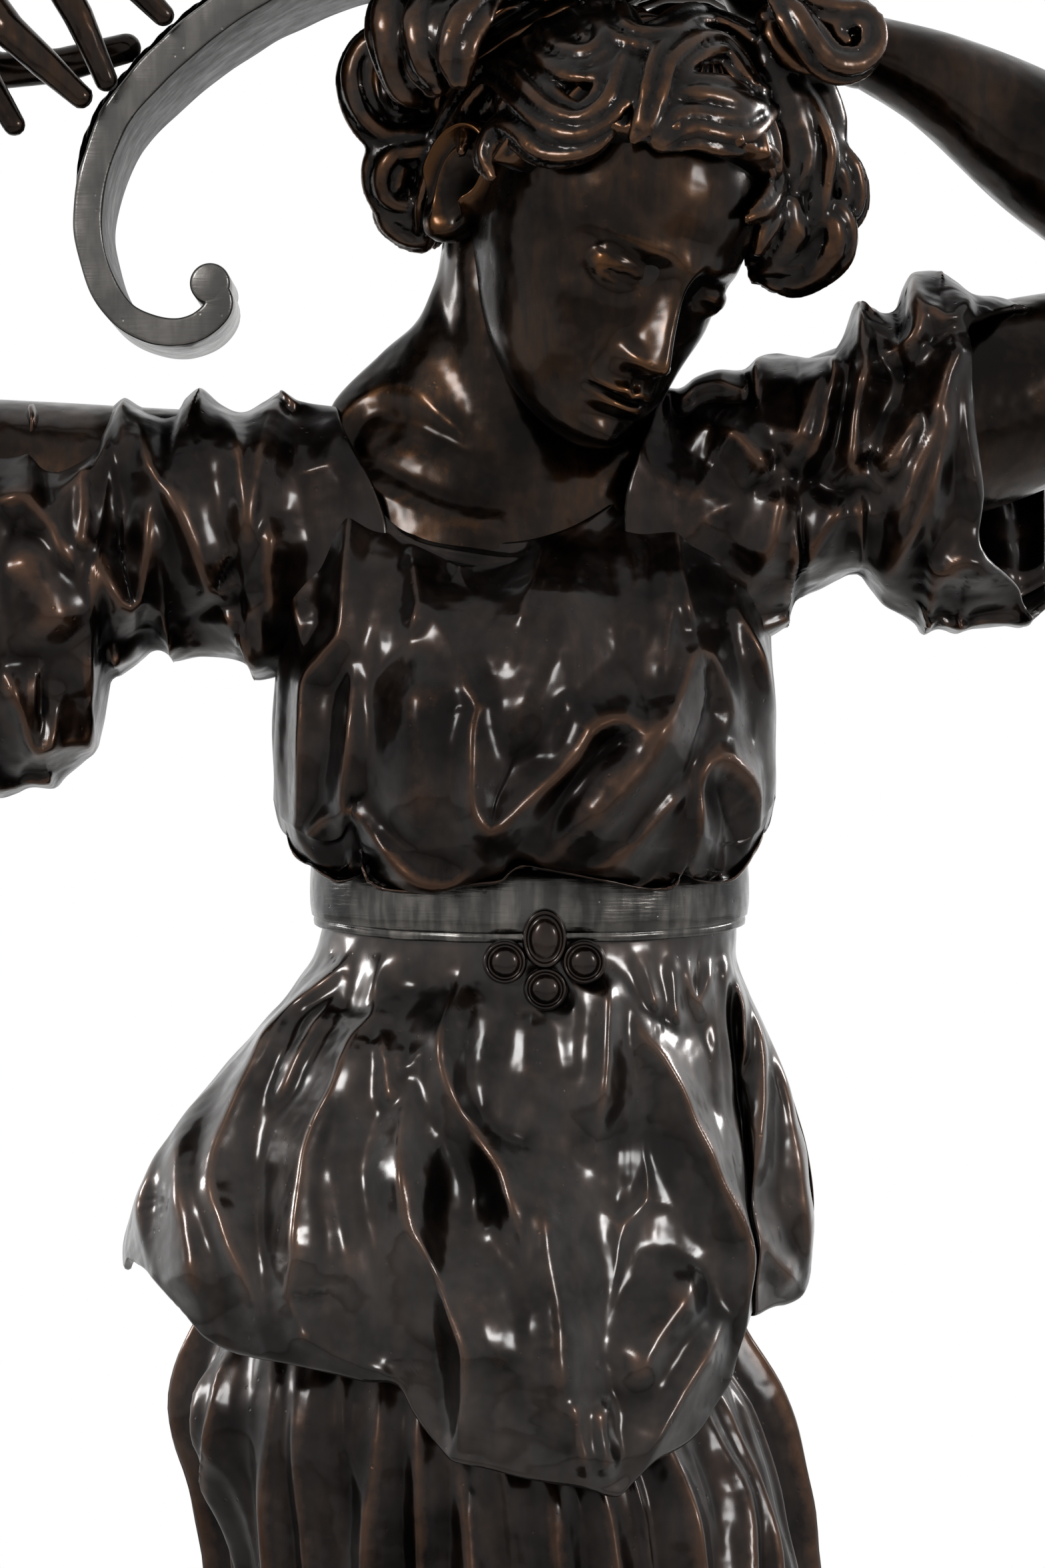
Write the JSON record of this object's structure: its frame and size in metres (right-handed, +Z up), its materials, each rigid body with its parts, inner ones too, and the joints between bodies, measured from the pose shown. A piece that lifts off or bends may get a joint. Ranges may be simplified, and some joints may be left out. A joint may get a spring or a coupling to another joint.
{
  "type": "figural torchere",
  "caption": "Bronze figure of a draped woman on a round socle, steadying a scroll on her head that carries a torch light with an open glass shade.",
  "frame": {"origin": "centre of the underside of the stone slab", "axes": "+Z up, -Y the way the figure faces, +X to the right of someone who looks at her face"},
  "size_m": [0.685, 0.43, 1.8366],
  "materials": {
    "bronze": "dark lacquered patina, satin to glossy",
    "skin_bronze": "warm brown lacquered patina, glossy",
    "scroll_bronze": "dark grey patina, brushed satin",
    "stone": "polished",
    "steel": "zinc plated",
    "brass": "aged, satin",
    "frosted_glass": "acid etched",
    "clear_glass": "polished"
  },
  "bodies": {
    "torchere": {"plinth_slab": "stone", "socle": "bronze", "ground_plate": "bronze", "cable_gland": "brass", "skirt": "bronze", "right_foot": "skin_bronze", "left_foot": "skin_bronze", "peplum": "bronze", "waist_plate": "steel", "bodice": "bronze", "belt": "bronze", "belt_rosette": "bronze", "neck_and_chest": "skin_bronze", "head": "skin_bronze", "hair_cap": "bronze", "topknot": "bronze", "crown_curl_left": "bronze", "nape_curl_upper": "bronze", "nape_curl_lower": "bronze", "temple_curl_right": "bronze", "crown_curl_right": "bronze", "right_arm": "skin_bronze", "left_arm": "skin_bronze", "right_sleeve": "bronze", "left_sleeve": "bronze", "scroll_band": "scroll_bronze", "leaf_trail": "scroll_bronze", "carrying_pad": "bronze", "saddle_block": "bronze", "right_hand": "skin_bronze", "left_hand": "skin_bronze", "tie_rod": "steel", "rod_washer_lower": "steel", "rod_washer_upper": "steel", "rod_nut_lower": "steel", "rod_nut_upper": "steel", "stem_foot": "bronze", "stem": "bronze", "torch_cup": "bronze", "gallery": "brass", "lamp_holder": "brass", "wire_tube": "steel", "tube_nut_lower": "steel", "tube_nut_waist": "steel"},
    "shade": {"torch_shade": "frosted_glass"},
    "bulb": {"bulb_cap": "brass", "bulb_glass": "clear_glass"},
    "key": {"switch_key": "brass"},
    "screw_1": {"thumb_screw_1": "brass"},
    "screw_2": {"thumb_screw_2": "brass"},
    "screw_3": {"thumb_screw_3": "brass"}
  },
  "joints": [
    {"name": "shade_lift", "type": "slide", "parent": "torchere", "child": "shade", "axis": [0, 0, 1], "range_m": [0, 0.08]},
    {"name": "bulb_draw", "type": "slide", "parent": "torchere", "child": "bulb", "axis": [0, 0, 1], "range_m": [0, 0.03]},
    {"name": "switch_turn", "type": "hinge", "parent": "torchere", "child": "key", "pos_m": [0.01, -0.03, 1.6486], "axis": [0, -1, 0], "range_deg": [0, 90]},
    {"name": "screw_1_back", "type": "slide", "parent": "torchere", "child": "screw_1", "axis": [0, 1, 0], "range_m": [0, 0.004]},
    {"name": "screw_2_back", "type": "slide", "parent": "torchere", "child": "screw_2", "axis": [-0.866, -0.5, 0], "range_m": [0, 0.004]},
    {"name": "screw_3_back", "type": "slide", "parent": "torchere", "child": "screw_3", "axis": [0.866, -0.5, 0], "range_m": [0, 0.004]}
  ]
}
